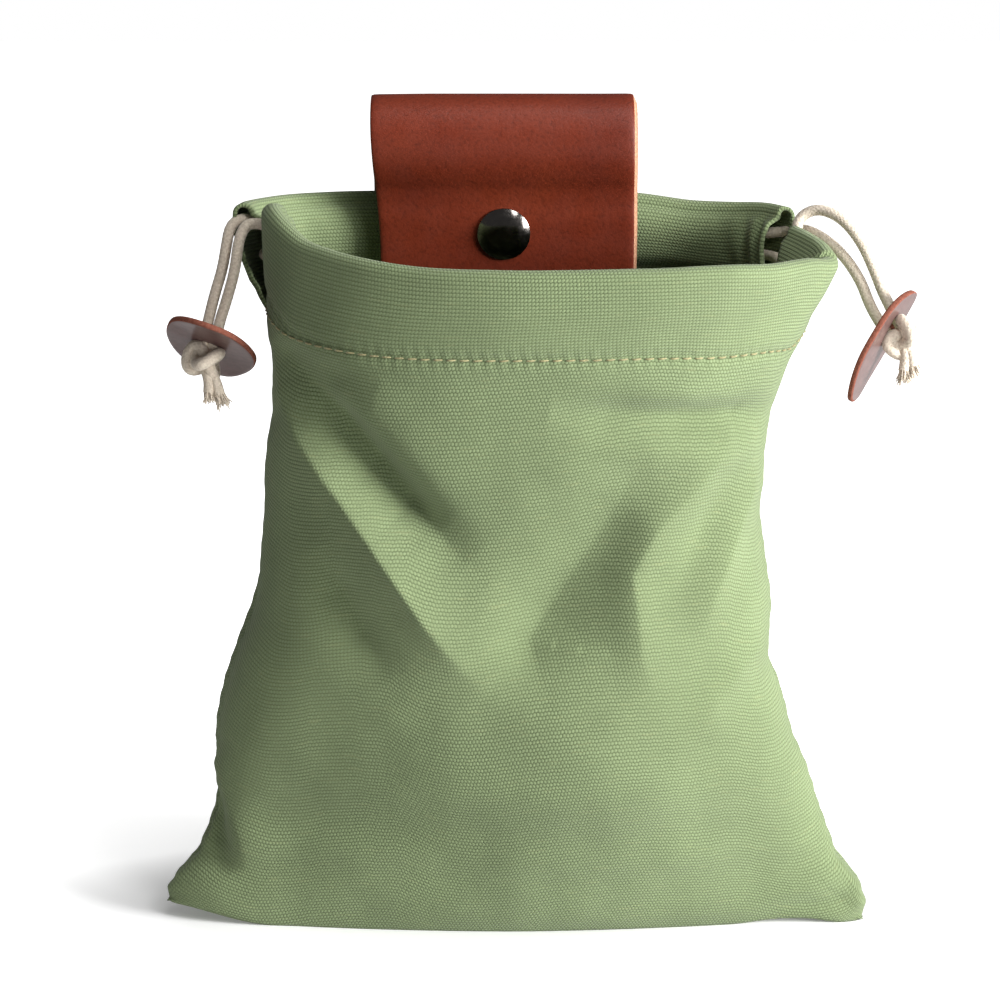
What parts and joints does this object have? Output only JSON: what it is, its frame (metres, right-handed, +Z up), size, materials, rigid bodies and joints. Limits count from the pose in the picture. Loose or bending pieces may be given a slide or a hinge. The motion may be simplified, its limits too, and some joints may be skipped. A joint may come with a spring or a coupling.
{
  "type": "drawstring treat pouch",
  "caption": "Soft canvas drawstring treat pouch with a leather belt loop that closes with a snap inside the mouth, and leather cord stoppers at both sides.",
  "frame": {"origin": "middle of the base, on the surface the pouch stands on", "axes": "+Z up, the pouch's front faces -Y, its left side in a front view is -X"},
  "size_m": [0.2129, 0.0983, 0.237],
  "materials": {
    "canvas": "coarse matte canvas weave",
    "thread": "matte sewing thread",
    "strap_leather": "smooth waxed leather with raw tan edges",
    "snap_metal": "dark gunmetal plating",
    "rivet_metal": "dark gunmetal plating",
    "cord": "twisted natural cotton cord",
    "stopper_leather": "leather with a paler flesh side"
  },
  "bodies": {
    "pouch": {"front_panel": "canvas", "back_panel": "canvas", "front_hem_stitching": "thread", "back_hem_stitching": "thread", "left_side_stitching": "thread", "right_side_stitching": "thread", "bottom_stitching": "thread", "strap_leg": "strap_leather", "snap_stud": "snap_metal", "snap_post": "snap_metal", "rivet_caps": "rivet_metal", "rivet_posts": "rivet_metal", "left_drawstring": "cord", "right_drawstring": "cord"},
    "flap": {"strap_flap": "strap_leather", "snap_cap": "snap_metal", "snap_socket": "snap_metal"},
    "left_cord_end": {"left_front_strand": "cord", "left_back_strand": "cord", "left_knot": "cord"},
    "left_cord_stopper": {"left_stopper": "stopper_leather"},
    "right_cord_end": {"right_front_strand": "cord", "right_back_strand": "cord", "right_knot": "cord"},
    "right_cord_stopper": {"right_stopper": "stopper_leather"}
  },
  "joints": [
    {"name": "flap_hinge", "type": "hinge", "parent": "pouch", "child": "flap", "pos_m": [-0.0039, 0.01792, 0.2234], "axis": [-1, 0, 0], "range_deg": [0, 95]},
    {"name": "left_cord_swing", "type": "hinge", "parent": "pouch", "child": "left_cord_end", "pos_m": [-0.0697, 0.0053, 0.2016], "axis": [-0.2557, 0.9618, 0.0974], "range_deg": [0, 60]},
    {"name": "left_stopper_slide", "type": "slide", "parent": "left_cord_end", "child": "left_cord_stopper", "axis": [0.1761, 0.5093, 0.8424], "range_m": [0, 0.006]},
    {"name": "right_cord_swing", "type": "hinge", "parent": "pouch", "child": "right_cord_end", "pos_m": [0.0788, 0.0129, 0.1959], "axis": [0.2831, -0.9289, -0.2388], "range_deg": [0, 35]},
    {"name": "right_stopper_slide", "type": "slide", "parent": "right_cord_end", "child": "right_cord_stopper", "axis": [-0.465, 0.4911, 0.7366], "range_m": [0, 0.006]}
  ]
}
